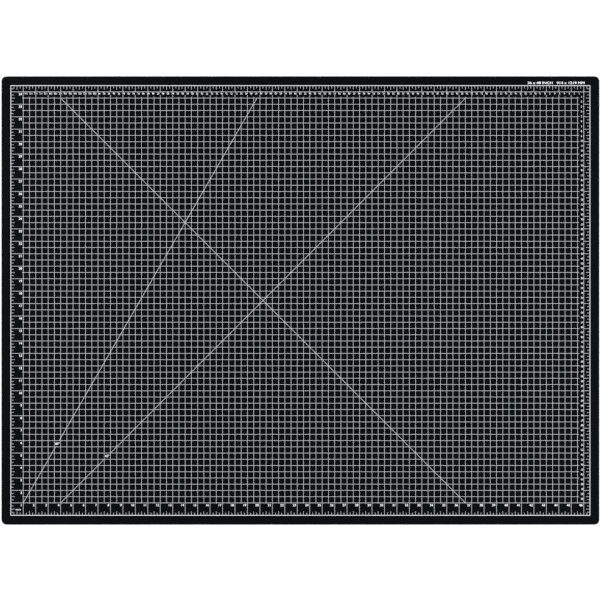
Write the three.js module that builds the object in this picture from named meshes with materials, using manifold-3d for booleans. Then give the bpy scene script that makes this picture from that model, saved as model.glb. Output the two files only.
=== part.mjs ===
// Self healing cutting mat, 36 x 48 inch, with a printed inch grid.
// Five PVC plies are heat laminated into one 3 mm board, and the ruler frame
// and the angle lines are thin films of white ink on its upper face.
// Millimetres, +Z up. The origin is at the middle of the underside.

import * as THREE from 'three';
import { mergeVertices } from 'three/addons/utils/BufferGeometryUtils.js';
import Module from 'manifold-3d';

// ---- driving dimensions ----

const INCH = 25.4;
const MAT_LENGTH = 48 * INCH;          // along X
const MAT_WIDTH = 36 * INCH;           // along Y
const CORNER_RADIUS = 10;
const CORNER_SEGMENTS = 12;

// Ply thicknesses, from the underside up; they add up to 3 mm.
const SKIN_PLY = 0.75;
const STIFF_PLY = 0.5;
const CORE_PLY = 0.5;

// The printed scale: a heavy frame line round it, a ruler line inside that.
const SCALE_LENGTH = 46.5;             // inches, between frame centre lines
const SCALE_WIDTH = 34.5;              // inches
const INK_THICKNESS = 0.05;
const FRAME_LINE = 1.0;                // stroke of the frame
const RULER_LINE = 0.5;                // stroke of every other line
const RULER_LOW = 1;                   // inch reading of the left and lower ruler lines
const RULER_HIGH_U = 46;               // inch reading of the right ruler line
const RULER_HIGH_V = 34;               // inch reading of the upper ruler line

// Angle lines, by inch readings from the scale's lower left corner. Each rising
// line breaks where it crosses the half inch cell that holds its label.
const LINE_TOP = 33.5;                 // reading that all three lines rise to
const RISE = LINE_TOP - RULER_LOW;
const LINE_45_START = 4;
const LINE_60_START = 1;
const LABEL_45_CELL = [4.5, 5];        // lowest and highest reading of the cell
const LABEL_60_CELL = [5.5, 6];
const CUT_HEIGHT = 10;                 // height of the blocks that cut the film

const THICKNESS = 2 * SKIN_PLY + 2 * STIFF_PLY + CORE_PLY;
const INK_MIDDLE = THICKNESS + INK_THICKNESS / 2;

// ---- finishes ----

const finish = (color, roughness) =>
  new THREE.MeshStandardMaterial({ color, roughness, metalness: 0 });
const blackSkin = finish(0x14161a, 0.6);
const greyPly = finish(0x3a3d41, 0.7);
const whiteInk = finish(0xdfe2e6, 0.5);

const mat = new THREE.Group();

function place(name, geometry, material) {
  const mesh = new THREE.Mesh(geometry, material);
  mesh.name = name;
  mat.add(mesh);
  return mesh;
}

// ---- the laminated plies ----

function roundedRectangle(length, width, radius) {
  const x = length / 2;
  const y = width / 2;
  const shape = new THREE.Shape();
  shape.moveTo(-x + radius, -y);
  shape.lineTo(x - radius, -y);
  shape.absarc(x - radius, -y + radius, radius, -Math.PI / 2, 0, false);
  shape.lineTo(x, y - radius);
  shape.absarc(x - radius, y - radius, radius, 0, Math.PI / 2, false);
  shape.lineTo(-x + radius, y);
  shape.absarc(-x + radius, y - radius, radius, Math.PI / 2, Math.PI, false);
  shape.lineTo(-x, -y + radius);
  shape.absarc(-x + radius, -y + radius, radius, Math.PI, 1.5 * Math.PI, false);
  return shape;
}

const outline = roundedRectangle(MAT_LENGTH, MAT_WIDTH, CORNER_RADIUS);
const plies = [
  ['bottom_healing_skin', SKIN_PLY, blackSkin],
  ['lower_stiffening_ply', STIFF_PLY, greyPly],
  ['centre_healing_ply', CORE_PLY, blackSkin],
  ['upper_stiffening_ply', STIFF_PLY, greyPly],
  ['top_healing_skin', SKIN_PLY, blackSkin],
];
let plyBase = 0;
for (const [name, thickness, material] of plies) {
  const slab = new THREE.ExtrudeGeometry(outline, {
    depth: thickness, bevelEnabled: false, curveSegments: CORNER_SEGMENTS,
  });
  place(name, slab, material).position.z = plyBase;
  plyBase += thickness;
}

// ---- printed films ----

const wasm = await Module();
wasm.setup();

// A closed three.js geometry as a solid that can be joined and cut.
function toSolid(geometry) {
  geometry.deleteAttribute('normal');
  geometry.deleteAttribute('uv');
  const merged = mergeVertices(geometry);
  return new wasm.Manifold(new wasm.Mesh({
    numProp: 3,
    vertProperties: new Float32Array(merged.attributes.position.array),
    triVerts: new Uint32Array(merged.index.array),
  }));
}

function toGeometry(solid) {
  const result = solid.getMesh();
  const geometry = new THREE.BufferGeometry();
  geometry.setAttribute('position', new THREE.BufferAttribute(result.vertProperties, 3));
  geometry.setIndex(new THREE.BufferAttribute(result.triVerts, 1));
  geometry.computeVertexNormals();
  return geometry;
}

// Millimetre place on the mat of an inch reading on the scale.
const across = (u) => (u - SCALE_LENGTH / 2) * INCH;
const along = (v) => (v - SCALE_WIDTH / 2) * INCH;

// A rectangular block about the height of the ink.
function block([x0, x1], [y0, y1], height) {
  const box = new THREE.BoxGeometry(x1 - x0, y1 - y0, height);
  box.translate((x0 + x1) / 2, (y0 + y1) / 2, INK_MIDDLE);
  return toSolid(box);
}

// One straight stroke of ink lying on the mat's upper face.
function stroke(x0, y0, x1, y1, width) {
  const box = new THREE.BoxGeometry(Math.hypot(x1 - x0, y1 - y0), width, INK_THICKNESS);
  box.rotateZ(Math.atan2(y1 - y0, x1 - x0));
  box.translate((x0 + x1) / 2, (y0 + y1) / 2, INK_MIDDLE);
  return toSolid(box);
}

const joined = (solids) => solids.reduce((sum, solid) => sum.add(solid));

// The frame and the four ruler lines inside it are one connected film, so it is
// a plate with a window in each of the nine fields that the lines leave bare.
function scaleFrame() {
  const frame = FRAME_LINE / 2;
  const ruler = RULER_LINE / 2;
  const columns = [
    [across(0) + frame, across(RULER_LOW) - ruler],
    [across(RULER_LOW) + ruler, across(RULER_HIGH_U) - ruler],
    [across(RULER_HIGH_U) + ruler, across(SCALE_LENGTH) - frame],
  ];
  const rows = [
    [along(0) + frame, along(RULER_LOW) - ruler],
    [along(RULER_LOW) + ruler, along(RULER_HIGH_V) - ruler],
    [along(RULER_HIGH_V) + ruler, along(SCALE_WIDTH) - frame],
  ];
  let plate = block([across(0) - frame, across(SCALE_LENGTH) + frame],
    [along(0) - frame, along(SCALE_WIDTH) + frame], INK_THICKNESS);
  for (const column of columns) {
    for (const row of rows) {
      plate = plate.subtract(block(column, row, CUT_HEIGHT));
    }
  }
  return plate;
}

// An angle line from reading (u, v) that climbs by a number of inches.
function angleLine(u, v, climb, degrees) {
  const run = climb / Math.tan(THREE.MathUtils.degToRad(degrees));
  return stroke(across(u), along(v), across(u + run), along(v + climb), RULER_LINE);
}

// The part of a line between two heights on the mat, clear of the side ruler lines.
function between(line, low, high) {
  const left = across(RULER_LOW) + RULER_LINE / 2;
  const right = across(RULER_HIGH_U) - RULER_LINE / 2;
  return line.intersect(block([left, right], [low, high], CUT_HEIGHT));
}

place('ink_scale_frame', toGeometry(scaleFrame()), whiteInk);

const lineFloor = along(RULER_LOW) + RULER_LINE / 2;
const lineCeiling = along(LINE_TOP);
const rising45 = angleLine(LINE_45_START, RULER_LOW, RISE, 45);
const rising60 = angleLine(LINE_60_START, RULER_LOW, RISE, 60);
const falling45 = angleLine(LINE_45_START, LINE_TOP, -RISE, -45);
place('ink_angle_lines', toGeometry(joined([
  between(falling45, lineFloor, lineCeiling),
  between(rising45, along(LABEL_45_CELL[1]), lineCeiling),
  between(rising60, along(LABEL_60_CELL[1]), lineCeiling),
])), whiteInk);
place('ink_45_line_foot',
  toGeometry(between(rising45, lineFloor, along(LABEL_45_CELL[0]))), whiteInk);
place('ink_60_line_foot',
  toGeometry(between(rising60, lineFloor, along(LABEL_60_CELL[0]))), whiteInk);

export default mat;
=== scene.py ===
"""Self healing cutting mat: laminated board, printed grid, rulers, numerals and stage."""

import math

import bmesh
import bpy
from bpy.props import FloatProperty, FloatVectorProperty, PointerProperty
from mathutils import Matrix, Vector


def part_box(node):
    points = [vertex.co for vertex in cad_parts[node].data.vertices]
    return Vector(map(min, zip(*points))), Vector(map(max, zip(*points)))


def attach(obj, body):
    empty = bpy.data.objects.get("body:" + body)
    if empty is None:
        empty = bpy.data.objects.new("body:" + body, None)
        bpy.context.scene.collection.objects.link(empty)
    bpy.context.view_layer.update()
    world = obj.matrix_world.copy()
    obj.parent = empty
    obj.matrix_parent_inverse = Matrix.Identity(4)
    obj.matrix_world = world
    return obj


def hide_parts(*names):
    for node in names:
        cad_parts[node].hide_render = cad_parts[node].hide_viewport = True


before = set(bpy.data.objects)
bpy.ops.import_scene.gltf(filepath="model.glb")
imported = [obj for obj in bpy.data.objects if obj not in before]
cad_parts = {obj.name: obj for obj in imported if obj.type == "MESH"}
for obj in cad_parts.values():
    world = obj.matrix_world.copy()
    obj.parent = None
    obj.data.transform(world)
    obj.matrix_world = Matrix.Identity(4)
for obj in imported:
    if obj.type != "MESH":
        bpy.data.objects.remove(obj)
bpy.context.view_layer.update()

bl_info = {
    "name": "Cutting Mat",
    "version": (1, 0, 0),
    "blender": (4, 5, 0),
    "location": "3D View > Sidebar > Cutting Mat",
    "description": "Builds a laminated self healing cutting mat with its printed scales",
    "category": "Object",
}

BODY = "root"
MM = 0.001                             # one millimetre in metres
INCH = 0.0254
CENTIMETRE = 0.01

# The plies from the underside up, each with its material slot.
PLIES = (
    ("bottom_healing_skin", "healing_skin"),
    ("lower_stiffening_ply", "stiff_core"),
    ("centre_healing_ply", "healing_core"),
    ("upper_stiffening_ply", "stiff_core"),
    ("top_healing_skin", "healing_skin"),
)
PRINTED_NODES = ("ink_scale_frame", "ink_angle_lines", "ink_45_line_foot", "ink_60_line_foot")

BOARD_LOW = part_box("bottom_healing_skin")[0]
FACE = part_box("top_healing_skin")[1].z          # height of the printed face
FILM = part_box("ink_scale_frame")[1].z - FACE    # thickness of the CAD ink film

# The printed scale in inch readings from the lower left corner of its frame.
SCALE_LENGTH, SCALE_WIDTH = 46.5, 34.5
RULER_LEFT = RULER_LOWER = 1
RULER_RIGHT, RULER_UPPER = 46, 34
CENTIMETRES_LONG = int((RULER_RIGHT - RULER_LEFT) * INCH / CENTIMETRE)
CENTIMETRES_WIDE = int((RULER_UPPER - RULER_LOWER) * INCH / CENTIMETRE)

# Film heights of the ink that crosses other ink, as parts of the CAD film.
LEVEL_FILM, UPRIGHT_FILM, MARK_FILM, FIGURE_FILM = 0.80, 0.86, 0.90, 0.94

CAP_HEIGHT = 0.682                     # height of a figure set at size 1
FIGURE_RESOLUTION = 3                  # steps along each curve of a figure
MERGE = 0.001 * MM                     # points of a film this close are one point

CORNER_STEPS = 16                      # steps round a corner of the board
ARRIS_STEPS = 4                        # steps round an arris
NOISE_LOW, NOISE_HIGH = 0.3, 0.7       # stretch of a noise that tones and numbers follow

FLOOR_REACH = 20.0                     # from the mat's middle to the floor's edge
ROOM_COLOUR = (0.95, 0.97, 1.0, 1)
ROOM_STRENGTH = 0.6
SOFT_BOX_SIZE = 2.4
SOFT_BOXES = (                         # name, place and power of each
    ("left_soft_box", (-3.2, 0.8, 2.6), 150),
    ("right_soft_box", (3.2, -0.4, 2.6), 130),
)
SENSOR = 36                            # width of the camera's sensor, in millimetres


def across(u):
    """Place along X of inch reading u."""
    return (u - SCALE_LENGTH / 2) * INCH


def along(v):
    """Place along Y of inch reading v."""
    return (v - SCALE_WIDTH / 2) * INCH


# ---- settings ----

def length(name, description, default):
    return FloatProperty(name=name, description=description, default=default,
                         unit="LENGTH", subtype="DISTANCE", precision=5)


def colour(name, description, default):
    return FloatVectorProperty(name=name, description=description, default=default,
                               size=3, min=0, max=1, subtype="COLOR")


class MatBoardSettings(bpy.types.PropertyGroup):
    corner_radius: length("Corner Radius", "Radius of the board's corners", 10 * MM)
    arris: length("Arris", "Rounding of the board's upper and lower edges", 0.35 * MM)
    seam: length("Seam", "Depth of the crease between two plies at the edge", 0.06 * MM)
    grain: length("Grain", "Width of the matt grain on the skins", 0.7 * MM)
    skin: colour("Skin", "Colour of the soft plies", (0.0006, 0.0016, 0.0026))
    core: colour("Core", "Colour of the stiff plies", (0.030, 0.034, 0.040))


class MatPrintSettings(bpy.types.PropertyGroup):
    line: length("Line", "Stroke of the grid lines and the ruler marks", 0.46 * MM)
    quarter_mark: length("Quarter Mark", "Length of a quarter inch mark", 5.6 * MM)
    half_mark: length("Half Mark", "Length of a half inch mark", 8 * MM)
    centimetre_mark: length("Centimetre Mark", "Length of a centimetre mark", 1.6 * MM)
    figure: length("Figure", "Height of the numerals", 4.4 * MM)
    bold: length("Bold", "How far the outline of a numeral is pushed out", 0.16 * MM)
    ink: colour("Ink", "Colour of the printed ink", (0.79, 0.79, 0.835))


class MatStageSettings(bpy.types.PropertyGroup):
    lens: FloatProperty(name="Lens", description="Focal length of the camera",
                        default=85, unit="CAMERA")
    view_width: length("View Width", "Width that the camera takes in at the mat", 1.2236)
    shift_x: length("View Shift X", "How far the view's middle lies left of the mat's", 0.8 * MM)
    shift_y: length("View Shift Y", "How far the view's middle lies above the mat's", 0.95 * MM)
    floor: colour("Floor", "Colour of the floor", (0.92, 0.92, 0.92))


# ---- node helpers ----

def add(tree, kind, inputs=None, **settings):
    """A node with its settings, and its inputs as values or as sockets to link."""
    made = tree.nodes.new(kind)
    for key, value in settings.items():
        setattr(made, key, value)
    for key, value in (inputs or {}).items():
        if isinstance(value, bpy.types.NodeSocket):
            tree.links.new(value, made.inputs[key])
        else:
            made.inputs[key].default_value = value
    return made


def geometry_tree(name, sockets):
    """An empty Geometry Nodes tree with named inputs, and its input node."""
    tree = bpy.data.node_groups.new(name, "GeometryNodeTree")
    tree.interface.new_socket("Geometry", in_out="INPUT", socket_type="NodeSocketGeometry")
    for label, kind in sockets:
        tree.interface.new_socket(label, in_out="INPUT", socket_type="NodeSocket" + kind)
    tree.interface.new_socket("Geometry", in_out="OUTPUT", socket_type="NodeSocketGeometry")
    return tree, add(tree, "NodeGroupInput")


def finish_tree(tree, given, made):
    """Adds made to the piece so far, realizes it, inks it and ends the tree."""
    both = add(tree, "GeometryNodeJoinGeometry")
    tree.links.new(made, both.inputs["Geometry"])
    tree.links.new(given.outputs["Geometry"], both.inputs["Geometry"])
    real = add(tree, "GeometryNodeRealizeInstances", {"Geometry": both.outputs[0]})
    inked = add(tree, "GeometryNodeSetMaterial",
                {"Geometry": real.outputs[0], "Material": given.outputs["Ink"]})
    add(tree, "NodeGroupOutput", {"Geometry": inked.outputs[0]})


def run_tree(piece, tree, values):
    """Adds the tree to the piece as a modifier with the named values."""
    modifier = piece.modifiers.new(tree.name, "NODES")
    modifier.node_group = tree
    for item in tree.interface.items_tree:
        if item.item_type == "SOCKET" and item.in_out == "INPUT" and item.name in values:
            modifier[item.identifier] = values[item.name]


def new_piece(name, mesh):
    piece = bpy.data.objects.new(name, mesh)
    bpy.context.scene.collection.objects.link(piece)
    return piece


def made_plain(name, source):
    """The evaluated source as a plain mesh piece that rides on the board."""
    bpy.context.view_layer.update()
    evaluated = source.evaluated_get(bpy.context.evaluated_depsgraph_get())
    mesh = bpy.data.meshes.new_from_object(evaluated)
    bpy.data.objects.remove(source)
    mesh.name = name
    if not mesh.polygons:
        raise RuntimeError(name + " came out empty")
    piece = new_piece(name, mesh)
    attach(piece, BODY)
    return piece


# ---- geometry trees ----

def stroke_row_tree():
    """A row of equal straight ink strokes."""
    name = "stroke_row"
    if name in bpy.data.node_groups:
        return bpy.data.node_groups[name]
    tree, given = geometry_tree(name, (
        ("Count", "Int"), ("First", "Vector"), ("Step", "Vector"), ("Size", "Vector"),
        ("Ink", "Material")))
    places = add(tree, "GeometryNodeMeshLine", {
        "Count": given.outputs["Count"], "Start Location": given.outputs["First"],
        "Offset": given.outputs["Step"]}, mode="OFFSET")
    stroke = add(tree, "GeometryNodeMeshCube", {"Size": given.outputs["Size"]})
    row = add(tree, "GeometryNodeInstanceOnPoints", {
        "Points": places.outputs[0], "Instance": stroke.outputs[0]})
    finish_tree(tree, given, row.outputs[0])
    return tree


def solid_film(tree, outline, bold, thickness):
    """Pushes closed curves out by bold, fills them and makes them a closed film."""
    coarse = add(tree, "GeometryNodeSetSplineResolution",
                 {"Geometry": outline, "Resolution": FIGURE_RESOLUTION})
    corners = add(tree, "GeometryNodeResampleCurve", {"Curve": coarse.outputs[0]},
                  mode="EVALUATED")
    ahead = add(tree, "GeometryNodeInputTangent")
    outwards = add(tree, "ShaderNodeVectorMath", operation="CROSS_PRODUCT")
    tree.links.new(ahead.outputs[0], outwards.inputs[0])
    outwards.inputs[1].default_value = (0, 0, 1)
    push = add(tree, "ShaderNodeVectorMath", operation="SCALE")
    tree.links.new(outwards.outputs[0], push.inputs[0])
    tree.links.new(bold, push.inputs["Scale"])
    heavy = add(tree, "GeometryNodeSetPosition",
                {"Geometry": corners.outputs[0], "Offset": push.outputs[0]})
    face = add(tree, "GeometryNodeFillCurve", {"Curve": heavy.outputs[0]}, mode="TRIANGLES")
    raised = add(tree, "GeometryNodeExtrudeMesh", {
        "Mesh": face.outputs[0], "Offset Scale": thickness, "Individual": False}, mode="FACES")
    base = add(tree, "GeometryNodeFlipFaces", {"Mesh": face.outputs[0]})
    both = add(tree, "GeometryNodeJoinGeometry")
    tree.links.new(raised.outputs[0], both.inputs[0])
    tree.links.new(base.outputs[0], both.inputs[0])
    return add(tree, "GeometryNodeMergeByDistance",
               {"Geometry": both.outputs[0], "Distance": MERGE}).outputs[0]


def numeral_row_tree():
    """A row of whole numbers, counted up from a first one, each a film of ink."""
    name = "numeral_row"
    if name in bpy.data.node_groups:
        return bpy.data.node_groups[name]
    tree, given = geometry_tree(name, (
        ("Count", "Int"), ("From", "Int"), ("First", "Vector"), ("Step", "Vector"),
        ("Turn", "Vector"), ("Height", "Float"), ("Width", "Float"), ("Bold", "Float"),
        ("Thickness", "Float"), ("Ink", "Material")))
    begin = add(tree, "GeometryNodeRepeatInput")
    end = add(tree, "GeometryNodeRepeatOutput")
    begin.pair_with_output(end)
    tree.links.new(given.outputs["Count"], begin.inputs["Iterations"])

    walked_steps = begin.outputs["Iteration"]
    number = add(tree, "ShaderNodeMath", operation="ADD")
    tree.links.new(walked_steps, number.inputs[0])
    tree.links.new(given.outputs["From"], number.inputs[1])
    words = add(tree, "FunctionNodeValueToString", {"Value": number.outputs[0], "Decimals": 0})
    size = add(tree, "ShaderNodeMath", operation="DIVIDE")
    tree.links.new(given.outputs["Height"], size.inputs[0])
    size.inputs[1].default_value = CAP_HEIGHT
    figures = add(tree, "GeometryNodeStringToCurves", {
        "String": words.outputs[0], "Size": size.outputs[0]}, align_x="RIGHT")
    curves = add(tree, "GeometryNodeRealizeInstances", {"Geometry": figures.outputs[0]})
    film = solid_film(tree, curves.outputs[0], given.outputs["Bold"],
                      given.outputs["Thickness"])
    shape = add(tree, "ShaderNodeCombineXYZ", {"X": given.outputs["Width"], "Y": 1.0, "Z": 1.0})
    walked = add(tree, "ShaderNodeVectorMath", operation="SCALE")
    tree.links.new(given.outputs["Step"], walked.inputs[0])
    tree.links.new(walked_steps, walked.inputs["Scale"])
    place = add(tree, "ShaderNodeVectorMath", operation="ADD")
    tree.links.new(given.outputs["First"], place.inputs[0])
    tree.links.new(walked.outputs[0], place.inputs[1])
    put = add(tree, "GeometryNodeTransform", {
        "Geometry": film, "Translation": place.outputs[0], "Rotation": given.outputs["Turn"],
        "Scale": shape.outputs[0]})
    grown = add(tree, "GeometryNodeJoinGeometry")
    tree.links.new(put.outputs[0], grown.inputs[0])
    tree.links.new(begin.outputs["Geometry"], grown.inputs[0])
    tree.links.new(grown.outputs[0], end.inputs["Geometry"])
    finish_tree(tree, given, end.outputs["Geometry"])
    return tree


def word_tree():
    """One printed word, centred on its place."""
    name = "printed_word"
    if name in bpy.data.node_groups:
        return bpy.data.node_groups[name]
    tree, given = geometry_tree(name, (
        ("Word", "String"), ("Place", "Vector"), ("Height", "Float"), ("Width", "Float"),
        ("Bold", "Float"), ("Thickness", "Float"), ("Ink", "Material")))
    size = add(tree, "ShaderNodeMath", operation="DIVIDE")
    tree.links.new(given.outputs["Height"], size.inputs[0])
    size.inputs[1].default_value = CAP_HEIGHT
    letters = add(tree, "GeometryNodeStringToCurves", {
        "String": given.outputs["Word"], "Size": size.outputs[0]}, align_x="CENTER")
    curves = add(tree, "GeometryNodeRealizeInstances", {"Geometry": letters.outputs[0]})
    film = solid_film(tree, curves.outputs[0], given.outputs["Bold"],
                      given.outputs["Thickness"])
    shape = add(tree, "ShaderNodeCombineXYZ", {"X": given.outputs["Width"], "Y": 1.0, "Z": 1.0})
    put = add(tree, "GeometryNodeTransform", {
        "Geometry": film, "Translation": given.outputs["Place"], "Scale": shape.outputs[0]})
    finish_tree(tree, given, put.outputs[0])
    return tree


# ---- materials ----

def new_material(name):
    """A material with its Principled shader and Object coordinates."""
    material = bpy.data.materials.new(name)
    material.use_nodes = True
    tree = material.node_tree
    shader = tree.nodes["Principled BSDF"]
    place = add(tree, "ShaderNodeTexCoord").outputs["Object"]
    return material, tree, shader, place


def noise(tree, place, width, detail=2.0, roughness=0.5):
    """Noise whose features are about so many metres wide."""
    return add(tree, "ShaderNodeTexNoise", {
        "Vector": place, "Scale": 1 / width, "Detail": detail, "Roughness": roughness})


def varied(tree, factor, low, high):
    """A number that runs from low to high as the noise rises."""
    return add(tree, "ShaderNodeMapRange", {
        "Value": factor, "From Min": NOISE_LOW, "From Max": NOISE_HIGH,
        "To Min": low, "To Max": high}).outputs[0]


def toned(tree, factor, dark, light):
    """A colour between two tones as the noise rises."""
    ramp = add(tree, "ShaderNodeValToRGB", {"Fac": factor})
    ramp.color_ramp.elements[0].position = NOISE_LOW
    ramp.color_ramp.elements[0].color = (*dark, 1)
    ramp.color_ramp.elements[1].position = NOISE_HIGH
    ramp.color_ramp.elements[1].color = (*light, 1)
    return ramp.outputs["Color"]


def shade(tone, amount):
    """A tone made darker or lighter by a factor."""
    return tuple(min(1.0, part * amount) for part in tone)


def speckled(tree, tone, factor, darkest):
    """A tone that fine noise darkens by up to the factor darkest."""
    speck = toned(tree, factor, (darkest, darkest, darkest), (1.0, 1.0, 1.0))
    mixed = add(tree, "ShaderNodeMix", {"Factor": 1.0}, data_type="RGBA", blend_type="MULTIPLY")
    tree.links.new(tone, mixed.inputs[6])
    tree.links.new(speck, mixed.inputs[7])
    return mixed.outputs[2]


def finish_shader(tree, shader, tone, roughness, bump):
    """Links the colour, the roughness and the relief of a material."""
    tree.links.new(tone, shader.inputs["Base Color"])
    tree.links.new(roughness, shader.inputs["Roughness"])
    tree.links.new(bump.outputs[0], shader.inputs["Normal"])


def skin_material(board):
    """Matt black soft PVC with a fine pressed grain and slight scuffing."""
    material, tree, shader, place = new_material("black_healing_pvc")
    cloud = noise(tree, place, 180 * MM, detail=4)
    grain = noise(tree, place, board.grain, detail=3, roughness=0.6)
    scuff = add(tree, "ShaderNodeMapping", {"Vector": place, "Scale": (1.0, 9.0, 1.0)})
    streak = noise(tree, scuff.outputs[0], 60 * MM, detail=6, roughness=0.7)
    tone = toned(tree, cloud.outputs["Fac"],
                 dark=shade(board.skin, 0.86), light=shade(board.skin, 1.14))
    tone = speckled(tree, tone, grain.outputs["Fac"], darkest=0.72)
    roughness = varied(tree, streak.outputs["Fac"], low=0.54, high=0.66)
    shader.inputs["Specular IOR Level"].default_value = 0.04
    bump = add(tree, "ShaderNodeBump", {
        "Height": grain.outputs["Fac"], "Strength": 0.5, "Distance": 0.05 * MM})
    finish_shader(tree, shader, tone, roughness, bump)
    return material


def core_material(board):
    """Plain dark grey rigid PVC, a little streaky where it was slit."""
    material, tree, shader, place = new_material("grey_rigid_pvc")
    slit = add(tree, "ShaderNodeMapping", {"Vector": place, "Scale": (1.0, 1.0, 12.0)})
    streak = noise(tree, slit.outputs[0], 9 * MM, detail=4)
    tone = toned(tree, streak.outputs["Fac"],
                 dark=shade(board.core, 0.8), light=shade(board.core, 1.2))
    roughness = varied(tree, streak.outputs["Fac"], low=0.55, high=0.7)
    shader.inputs["Specular IOR Level"].default_value = 0.2
    bump = add(tree, "ShaderNodeBump", {
        "Height": streak.outputs["Fac"], "Strength": 0.3, "Distance": 0.04 * MM})
    finish_shader(tree, shader, tone, roughness, bump)
    return material


def ink_material(printing):
    """White screen printed ink, thin and slightly mottled over the grain."""
    material, tree, shader, place = new_material("white_screen_ink")
    patch = noise(tree, place, 25 * MM, detail=5)
    fleck = noise(tree, place, 0.4 * MM, detail=2)
    tone = toned(tree, patch.outputs["Fac"],
                 dark=shade(printing.ink, 0.93), light=shade(printing.ink, 1.05))
    tone = speckled(tree, tone, fleck.outputs["Fac"], darkest=0.9)
    roughness = varied(tree, fleck.outputs["Fac"], low=0.45, high=0.6)
    shader.inputs["Specular IOR Level"].default_value = 0.25
    bump = add(tree, "ShaderNodeBump", {
        "Height": fleck.outputs["Fac"], "Strength": 0.25, "Distance": 0.01 * MM})
    finish_shader(tree, shader, tone, roughness, bump)
    return material


def kept_material(name, make, settings):
    """The named material, made the first time that it is asked for."""
    return bpy.data.materials.get(name) or make(settings)


def ink():
    return kept_material("white_screen_ink", ink_material, bpy.context.scene.cutting_mat_print)


# ---- the board ----

def rounded_outline(half_length, half_width, radius):
    """Points of a rectangle with round corners, anticlockwise."""
    points = []
    for corner, (side_x, side_y) in enumerate(((1, -1), (1, 1), (-1, 1), (-1, -1))):
        centre = Vector((side_x * (half_length - radius), side_y * (half_width - radius)))
        for step in range(CORNER_STEPS + 1):
            angle = math.radians(90 * (corner - 1) + 90 * step / CORNER_STEPS)
            points.append(centre + radius * Vector((math.cos(angle), math.sin(angle))))
    return points


def edge_profile(low, high, lower_round, upper_round):
    """(inset, height) pairs up the edge of a ply, round at both its arrises."""
    angles = [math.radians(90 * step / ARRIS_STEPS) for step in range(ARRIS_STEPS + 1)]
    lower = [(lower_round * (1 - math.sin(angle)), low + lower_round * (1 - math.cos(angle)))
             for angle in angles]
    upper = [(upper_round * (1 - math.cos(angle)), high - upper_round * (1 - math.sin(angle)))
             for angle in angles]
    return lower + upper


def ply_mesh(name, low, high, radius, profile):
    """A closed slab whose edge follows the profile all the way round."""
    half_length, half_width = (high.x - low.x) / 2, (high.y - low.y) / 2
    shell = bmesh.new()
    rings = []
    for inset, height in profile:
        outline = rounded_outline(half_length - inset, half_width - inset, radius - inset)
        rings.append([shell.verts.new((p.x, p.y, height)) for p in outline])
    for lower, upper in zip(rings, rings[1:]):
        for i in range(len(lower)):
            j = (i + 1) % len(lower)
            shell.faces.new((lower[i], lower[j], upper[j], upper[i])).smooth = True
    shell.faces.new(list(reversed(rings[0])))
    shell.faces.new(rings[-1])
    mesh = bpy.data.meshes.new(name)
    shell.to_mesh(mesh)
    shell.free()
    return mesh


class CUTTINGMAT_OT_lay_plies(bpy.types.Operator):
    """Lay the five PVC plies of the board on each other"""
    bl_idname = "cutting_mat.lay_plies"
    bl_label = "Lay Plies"

    def execute(self, context):
        board = context.scene.cutting_mat_board
        skin = kept_material("black_healing_pvc", skin_material, board)
        core = kept_material("grey_rigid_pvc", core_material, board)
        for node, slot in PLIES:
            low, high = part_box(node)
            lower_round = board.arris if low.z <= BOARD_LOW.z else board.seam
            upper_round = board.arris if high.z >= FACE else board.seam
            profile = edge_profile(low.z, high.z, lower_round, upper_round)
            mesh = ply_mesh(node + "_pressed", low, high, board.corner_radius, profile)
            mesh.materials.append(core if slot == "stiff_core" else skin)
            piece = new_piece(node + "_pressed", mesh)
            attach(piece, BODY)
            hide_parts(node)
        return {"FINISHED"}


# ---- the print ----

def upright_row(first_u, step, count, low, high, stroke, film):
    """Strokes along Y at equal inch readings, between two places on Y."""
    return {
        "Count": count,
        "First": (across(first_u), (low + high) / 2, FACE + film / 2),
        "Step": (step * INCH, 0, 0),
        "Size": (stroke, high - low, film),
    }


def level_row(first_v, step, count, low, high, stroke, film):
    """Strokes along X at equal inch readings, between two places on X."""
    return {
        "Count": count,
        "First": ((low + high) / 2, along(first_v), FACE + film / 2),
        "Step": (0, step * INCH, 0),
        "Size": (high - low, stroke, film),
    }


def stroke_piece(name, rows):
    """One piece of ink from rows of strokes."""
    source = new_piece(name + "_source", bpy.data.meshes.new(name + "_source"))
    for row in rows:
        run_tree(source, stroke_row_tree(), {**row, "Ink": ink()})
    return made_plain(name, source)


class CUTTINGMAT_OT_ink_scale(bpy.types.Operator):
    """Ink the frame, the ruler lines and the angle lines"""
    bl_idname = "cutting_mat.ink_scale"
    bl_label = "Ink Frame and Angle Lines"

    def execute(self, context):
        for node in PRINTED_NODES:
            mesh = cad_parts[node].data
            mesh.materials.clear()
            mesh.materials.append(ink())
        return {"FINISHED"}


class CUTTINGMAT_OT_print_grid(bpy.types.Operator):
    """Print the half inch grid"""
    bl_idname = "cutting_mat.print_grid"
    bl_label = "Print Grid"

    # Where the inch lines and the lines between them end, in inch readings.
    inch_ends = {"left": 0, "right": 45.65, "lower": 0, "upper": 33.75}
    half_ends = {"left": 0.92, "right": 45.62, "lower": 0.95, "upper": 33.6}

    def execute(self, context):
        stroke = context.scene.cutting_mat_print.line
        whole, half = self.inch_ends, self.half_ends
        columns, rows = RULER_RIGHT - 2, RULER_UPPER - 2
        upright, level = UPRIGHT_FILM * FILM, LEVEL_FILM * FILM
        stroke_piece("grid_print", (
            upright_row(2, 1, columns, along(whole["lower"]), along(whole["upper"]),
                        stroke, upright),
            upright_row(1.5, 1, columns + 1, along(half["lower"]), along(half["upper"]),
                        stroke, upright),
            level_row(2, 1, rows, across(whole["left"]), across(whole["right"]),
                      stroke, level),
            level_row(1.5, 1, rows + 1, across(half["left"]), across(half["right"]),
                      stroke, level),
        ))
        return {"FINISHED"}


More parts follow.
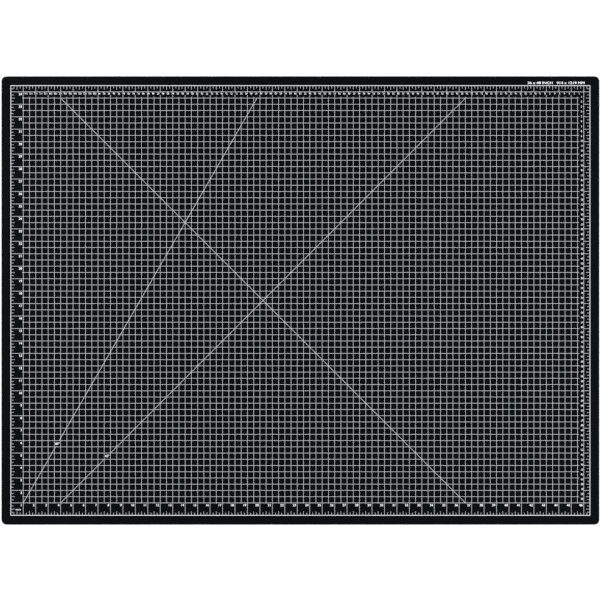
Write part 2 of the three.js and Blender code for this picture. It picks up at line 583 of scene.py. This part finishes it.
class CUTTINGMAT_OT_print_inch_marks(bpy.types.Operator):
    """Print the inch, half inch and quarter inch marks inside the frame"""
    bl_idname = "cutting_mat.print_inch_marks"
    bl_label = "Print Inch Marks"

    def execute(self, context):
        printing = context.scene.cutting_mat_print
        film = MARK_FILM * FILM
        stroke = printing.line
        left, right = across(0), across(SCALE_LENGTH)
        lower, upper = along(0), along(SCALE_WIDTH)
        rows = [
            upright_row(2, 1, RULER_RIGHT - 2, along(RULER_UPPER), upper, stroke, film),
            level_row(2, 1, RULER_UPPER - 2, across(RULER_RIGHT), right, stroke, film),
        ]
        # First inch reading, step and length of each kind of mark.
        kinds = ((0.25, 0.5, printing.quarter_mark), (0.5, 1, printing.half_mark))
        for first, step, reach in kinds:
            columns = math.ceil((SCALE_LENGTH - first) / step)
            lines = math.ceil((SCALE_WIDTH - first) / step)
            rows += [
                upright_row(first, step, columns, lower, lower + reach, stroke, film),
                upright_row(first, step, columns, upper - reach, upper, stroke, film),
                level_row(first, step, lines, left, left + reach, stroke, film),
                level_row(first, step, lines, right - reach, right, stroke, film),
            ]
        stroke_piece("inch_marks_print", rows)
        return {"FINISHED"}


class CUTTINGMAT_OT_print_centimetre_marks(bpy.types.Operator):
    """Print the centimetre marks along the upper and the right ruler lines"""
    bl_idname = "cutting_mat.print_centimetre_marks"
    bl_label = "Print Centimetre Marks"

    def execute(self, context):
        printing = context.scene.cutting_mat_print
        film = MARK_FILM * FILM
        reach = printing.centimetre_mark
        step = -CENTIMETRE / INCH
        upper, right = along(RULER_UPPER), across(RULER_RIGHT)
        stroke_piece("centimetre_marks_print", (
            upright_row(RULER_RIGHT + step, step, CENTIMETRES_LONG, upper - reach, upper,
                        printing.line, film),
            level_row(RULER_UPPER + step, step, CENTIMETRES_WIDE, right - reach, right,
                      printing.line, film),
        ))
        return {"FINISHED"}


def numeral_piece(name, rows):
    """One piece of ink from rows of numbers, each number set to end at its place."""
    printing = bpy.context.scene.cutting_mat_print
    source = new_piece(name + "_source", bpy.data.meshes.new(name + "_source"))
    for row in rows:
        run_tree(source, numeral_row_tree(), {
            "Height": printing.figure, "Bold": printing.bold, "Turn": (0, 0, 0),
            "Thickness": FIGURE_FILM * FILM, "Ink": ink(), **row})
    return made_plain(name, source)


class CUTTINGMAT_OT_print_inch_numerals(bpy.types.Operator):
    """Print the inch numerals beside the lower and the left ruler lines"""
    bl_idname = "cutting_mat.print_inch_numerals"
    bl_label = "Print Inch Numerals"

    width = 1.06                       # their width against that of the plain typeface
    side_gap = 2.4 * MM                # from a numeral to the line on its right
    top_gap = 2.4 * MM                 # from a numeral to the line above it

    def execute(self, context):
        drop = self.top_gap + context.scene.cutting_mat_print.figure
        numeral_piece("inch_numerals_print", (
            {"Count": RULER_RIGHT, "From": 1, "Step": (INCH, 0, 0), "Width": self.width,
             "First": (across(1) - self.side_gap, along(RULER_LOWER) - drop, FACE)},
            {"Count": RULER_UPPER - 1, "From": 2, "Step": (0, INCH, 0), "Width": self.width,
             "First": (across(RULER_LEFT) - self.side_gap, along(2) - drop, FACE)},
        ))
        return {"FINISHED"}


class CUTTINGMAT_OT_print_centimetre_numerals(bpy.types.Operator):
    """Print the centimetre numerals, which read with the mat turned round"""
    bl_idname = "cutting_mat.print_centimetre_numerals"
    bl_label = "Print Centimetre Numerals"

    share = 0.86                       # height of these figures against the inch ones
    width = 0.8                        # their width against that of the plain typeface
    bold_share = 0.4                   # how much of the bold they have
    line_gap = 1.6 * MM                # from the upper ruler line to the figures
    mark_gap = 0.2 * MM                # from a figure's last digit back past its mark
    side_reach = 5.7 * MM              # from the right ruler line to the last digits
    drop = 0.1 * MM                    # how far a figure's middle lies below its mark

    def execute(self, context):
        half_turn = (0, 0, math.pi)
        printing = context.scene.cutting_mat_print
        height = self.share * printing.figure
        upper_first = (across(RULER_RIGHT) - CENTIMETRE - self.mark_gap,
                       along(RULER_UPPER) - self.line_gap, FACE)
        right_first = (across(RULER_RIGHT) - self.side_reach,
                       along(RULER_UPPER) - CENTIMETRE - self.drop + height / 2, FACE)
        shared = {"From": 1, "Turn": half_turn, "Height": height, "Width": self.width,
                  "Bold": self.bold_share * printing.bold}
        numeral_piece("centimetre_numerals_print", (
            {"Count": CENTIMETRES_LONG, "First": upper_first,
             "Step": (-CENTIMETRE, 0, 0), **shared},
            {"Count": CENTIMETRES_WIDE, "First": right_first,
             "Step": (0, -CENTIMETRE, 0), **shared},
        ))
        return {"FINISHED"}


class CUTTINGMAT_OT_print_labels(bpy.types.Operator):
    """Print the unit word, the angle labels and the plain size note"""
    bl_idname = "cutting_mat.print_labels"
    bl_label = "Print Labels"

    # Word, inch readings of its middle, height of its capitals and width factor.
    labels = (
        ("INCH", 0.60, 0.45, 2.7 * MM, 1.08),
        ("60°", 3.74, 5.76, 4.4 * MM, 1.0),
        ("45°", 7.74, 4.76, 4.4 * MM, 1.0),
        ("36 x 48 INCH   914 x 1219 MM", 43.78, 34.72, 4.6 * MM, 1.33),
    )

    def execute(self, context):
        printing = context.scene.cutting_mat_print
        source = new_piece("labels_source", bpy.data.meshes.new("labels_source"))
        for word, u, v, height, width in self.labels:
            run_tree(source, word_tree(), {
                "Word": word, "Place": (across(u), along(v) - height / 2, FACE),
                "Height": height, "Width": width, "Thickness": FIGURE_FILM * FILM,
                "Bold": printing.bold * height / printing.figure, "Ink": ink()})
        made_plain("labels_print", source)
        return {"FINISHED"}


# ---- the stage ----

def soft_light(name, place, power):
    """A square soft box that faces the mat."""
    lamp = bpy.data.lights.new(name, "AREA")
    lamp.size = SOFT_BOX_SIZE
    lamp.energy = power
    holder = bpy.data.objects.new(name, lamp)
    holder.location = place
    holder.rotation_euler = (-Vector(place)).to_track_quat("-Z", "Y").to_euler()
    bpy.context.scene.collection.objects.link(holder)


class CUTTINGMAT_OT_set_stage(bpy.types.Operator):
    """Set the floor, the soft light and the camera straight above the mat"""
    bl_idname = "cutting_mat.set_stage"
    bl_label = "Set Stage"

    def execute(self, context):
        stage = context.scene.cutting_mat_stage
        self.lay_floor(stage)
        self.light(context.scene)
        self.set_camera(context.scene, stage)
        return {"FINISHED"}

    def lay_floor(self, stage):
        mesh = bpy.data.meshes.new("floor")
        signs = ((-1, -1), (1, -1), (1, 1), (-1, 1))
        corners = [(x * FLOOR_REACH, y * FLOOR_REACH, 0) for x, y in signs]
        mesh.from_pydata(corners, [], [(0, 1, 2, 3)])
        material, tree, shader, place = new_material("pale_floor")
        cloud = noise(tree, place, 400 * MM)
        tone = toned(tree, cloud.outputs["Fac"],
                     dark=shade(stage.floor, 0.99), light=shade(stage.floor, 1.01))
        tree.links.new(tone, shader.inputs["Base Color"])
        shader.inputs["Roughness"].default_value = 0.9
        shader.inputs["Specular IOR Level"].default_value = 0.0
        mesh.materials.append(material)
        new_piece("floor", mesh)

    def light(self, scene):
        world = bpy.data.worlds.new("soft_room")
        world.use_nodes = True
        background = world.node_tree.nodes["Background"]
        background.inputs["Color"].default_value = ROOM_COLOUR
        background.inputs["Strength"].default_value = ROOM_STRENGTH
        scene.world = world
        for soft_box in SOFT_BOXES:
            soft_light(*soft_box)
        scene.view_settings.view_transform = "Standard"

    def set_camera(self, scene, stage):
        camera = bpy.data.cameras.new("camera")
        camera.lens = stage.lens
        camera.sensor_width = SENSOR
        holder = bpy.data.objects.new("camera", camera)
        distance = stage.view_width * camera.lens / camera.sensor_width
        holder.location = (-stage.shift_x, stage.shift_y, FACE + distance)
        scene.collection.objects.link(holder)
        scene.camera = holder


class CUTTINGMAT_PT_panel(bpy.types.Panel):
    """Lists the steps that build the mat"""
    bl_idname = "CUTTINGMAT_PT_panel"
    bl_label = "Cutting Mat"
    bl_space_type = "VIEW_3D"
    bl_region_type = "UI"
    bl_category = "Cutting Mat"

    def draw(self, context):
        layout = self.layout
        for group in ("cutting_mat_board", "cutting_mat_print", "cutting_mat_stage"):
            settings = getattr(context.scene, group)
            for key in settings.__annotations__:
                layout.prop(settings, key)
        for step in STEPS:
            layout.operator(step.bl_idname)


SETTINGS = {
    "cutting_mat_board": MatBoardSettings,
    "cutting_mat_print": MatPrintSettings,
    "cutting_mat_stage": MatStageSettings,
}
STEPS = (
    CUTTINGMAT_OT_lay_plies,
    CUTTINGMAT_OT_ink_scale,
    CUTTINGMAT_OT_print_grid,
    CUTTINGMAT_OT_print_inch_marks,
    CUTTINGMAT_OT_print_centimetre_marks,
    CUTTINGMAT_OT_print_inch_numerals,
    CUTTINGMAT_OT_print_centimetre_numerals,
    CUTTINGMAT_OT_print_labels,
    CUTTINGMAT_OT_set_stage,
)


def register():
    for kind in (*SETTINGS.values(), *STEPS, CUTTINGMAT_PT_panel):
        bpy.utils.register_class(kind)
    for name, kind in SETTINGS.items():
        setattr(bpy.types.Scene, name, PointerProperty(type=kind))


def unregister():
    for name in SETTINGS:
        delattr(bpy.types.Scene, name)
    for kind in reversed((*SETTINGS.values(), *STEPS, CUTTINGMAT_PT_panel)):
        bpy.utils.unregister_class(kind)


def main():
    register()
    for step in STEPS:
        group, action = step.bl_idname.split(".")
        getattr(getattr(bpy.ops, group), action)()


if __name__ == "__main__":
    main()
